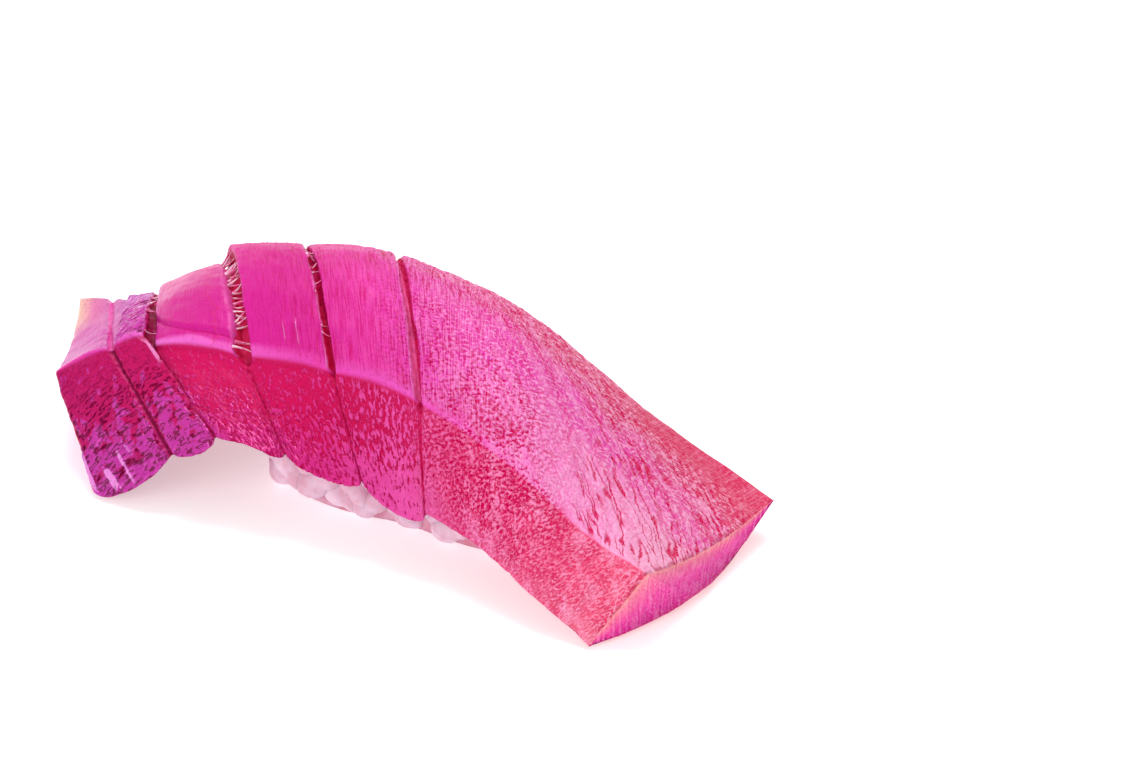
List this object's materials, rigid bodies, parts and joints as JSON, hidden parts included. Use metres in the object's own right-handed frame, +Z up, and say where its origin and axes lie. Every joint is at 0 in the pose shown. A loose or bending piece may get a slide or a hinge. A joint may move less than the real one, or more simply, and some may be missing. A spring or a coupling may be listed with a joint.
{
  "type": "chutoro nigiri sushi",
  "caption": "Nigiri sushi: a long scored slice of medium-fatty tuna arched over a small pressed ball of rice, its two ends reaching down past the rice to the table.",
  "frame": {"origin": "on the surface the rice rests on, below the middle of the whole piece's bounding box", "axes": "+X along the slice from its tail to its near end, -Y towards the broad slanted side of the slice, +Z up"},
  "size_m": [0.0984, 0.0392, 0.0258],
  "materials": {
    "tuna_flesh": "raw medium-fatty tuna, moist and softly glossy, pink top with a darker red slanted side",
    "boiled_rice": "boiled short-grain rice, slightly translucent and sticky, moist sheen"
  },
  "bodies": {
    "root": {"tuna_slice": "tuna_flesh", "rice": "boiled_rice"}
  },
  "joints": []
}
